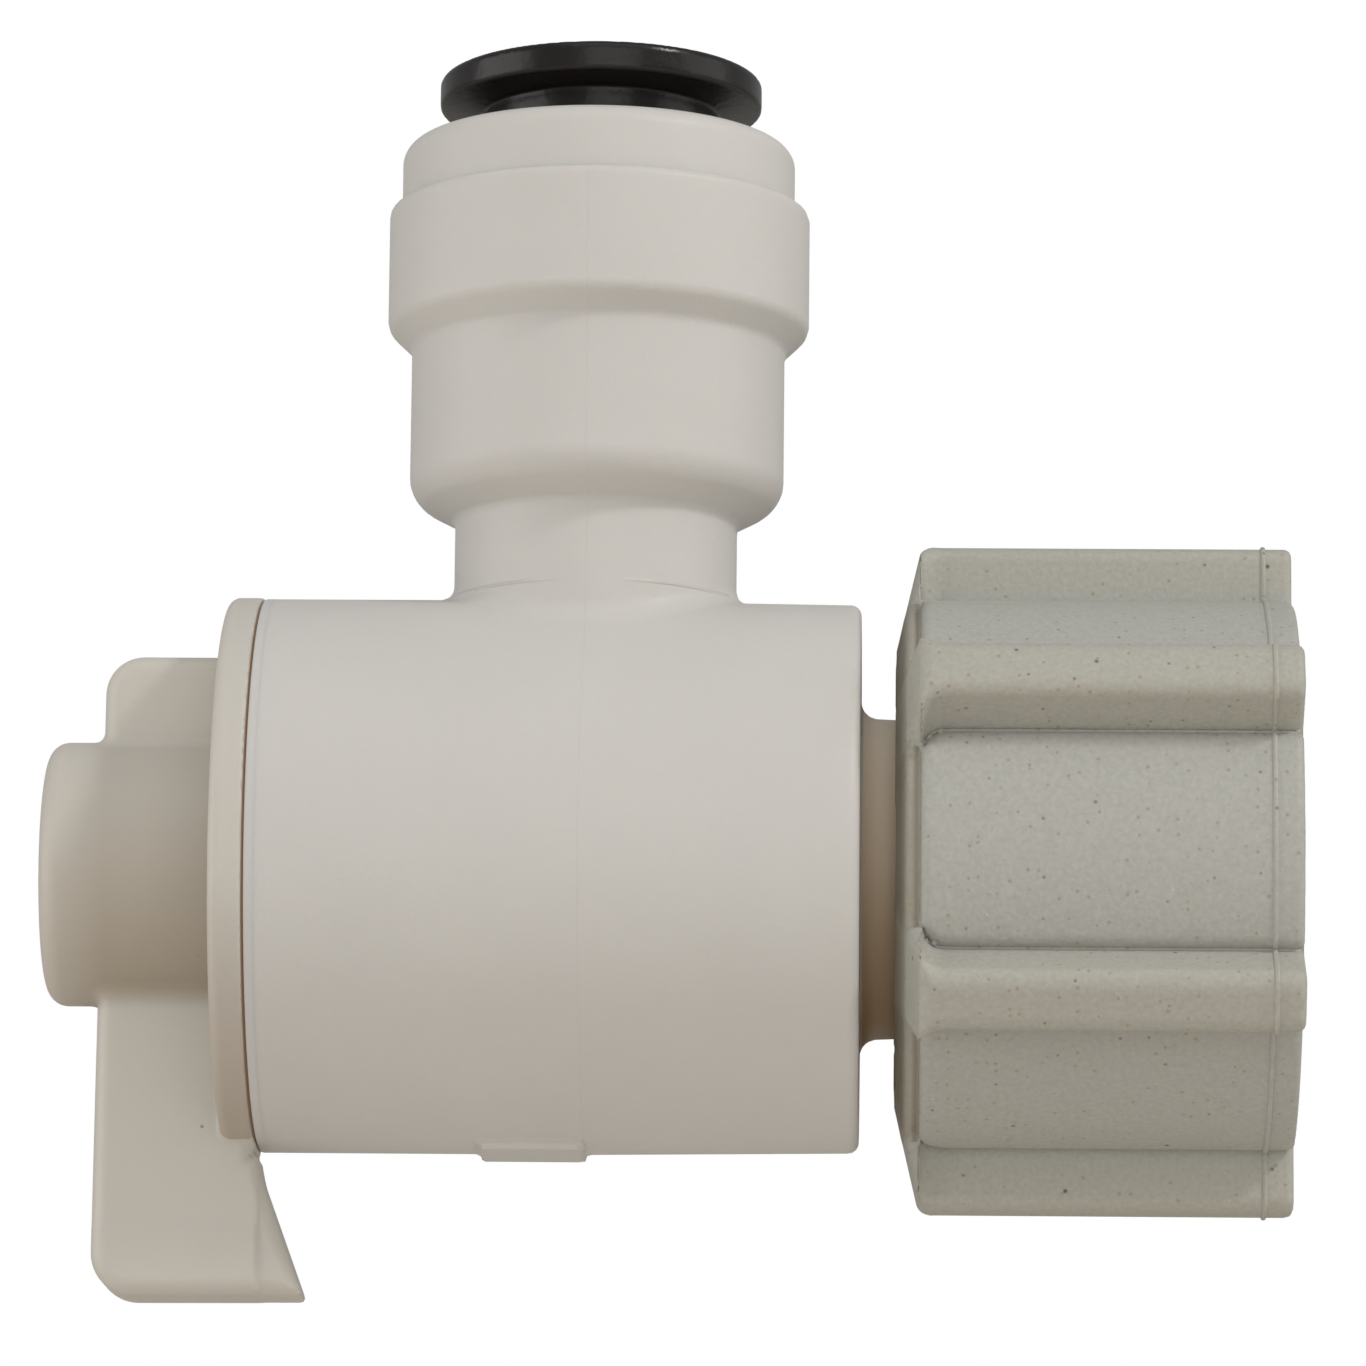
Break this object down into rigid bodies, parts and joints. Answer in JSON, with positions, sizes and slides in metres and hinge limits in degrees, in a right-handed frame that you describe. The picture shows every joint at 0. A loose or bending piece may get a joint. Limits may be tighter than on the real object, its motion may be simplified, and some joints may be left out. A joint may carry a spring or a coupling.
{
  "type": "push-fit angle stop valve",
  "caption": "Quarter-turn angle valve with a push-fit tube port, a lever handle and a hand-tightened swivel nut with a female pipe thread.",
  "frame": {"origin": "centre of the swivel nut's open mouth, on the barrel axis", "axes": "+X out of the nut's mouth along the barrel axis, +Z along the tube port, Y across"},
  "size_m": [0.0583, 0.029, 0.0585],
  "materials": {
    "body_plastic": "off-white moulded acetal, fine satin skin",
    "handle_plastic": "slightly creamier off-white acetal, satin",
    "nut_plastic": "greenish grey moulded plastic with fine dark and brown specks",
    "collet_plastic": "glossy black acetal",
    "inner_plastic": "white acetal",
    "ball_plastic": "polished white acetal",
    "seat_plastic": "white fluoropolymer",
    "seal_rubber": "black EPDM",
    "washer_rubber": "black EPDM, matt",
    "stainless": "stainless steel"
  },
  "bodies": {
    "valve": {"valve_body": "body_plastic", "gland": "inner_plastic", "gland_oring": "seal_rubber", "stem_washer": "seat_plastic", "rear_seat": "seat_plastic", "inlet_seat": "seat_plastic", "outlet_seat": "seat_plastic", "seat_orings": "seal_rubber", "port_oring": "seal_rubber", "port_spacer": "inner_plastic", "port_cap": "body_plastic", "cone_washer": "washer_rubber"},
    "handle": {"handle": "handle_plastic", "handle_screw": "stainless", "handle_plug": "handle_plastic", "stem": "ball_plastic", "stem_orings": "seal_rubber", "ball": "ball_plastic"},
    "collet": {"collet": "collet_plastic", "collet_teeth": "stainless"},
    "nut_ring": {"thrust_ring": "seat_plastic"},
    "nut": {"swivel_nut": "nut_plastic"}
  },
  "joints": [
    {"name": "handle_turn", "type": "hinge", "parent": "valve", "child": "handle", "pos_m": [-0.0328, 0, 0], "axis": [1, 0, 0], "range_deg": [0, 90]},
    {"name": "collet_release", "type": "slide", "parent": "valve", "child": "collet", "axis": [0, 0, -1], "range_m": [0, 0.0015]},
    {"name": "nut_slide", "type": "slide", "parent": "valve", "child": "nut_ring", "axis": [-1, 0, 0], "range_m": [0, 0.0012]},
    {"name": "nut_spin", "type": "hinge", "parent": "nut_ring", "child": "nut", "pos_m": [-0.01, 0, 0], "axis": [1, 0, 0], "continuous": true}
  ]
}
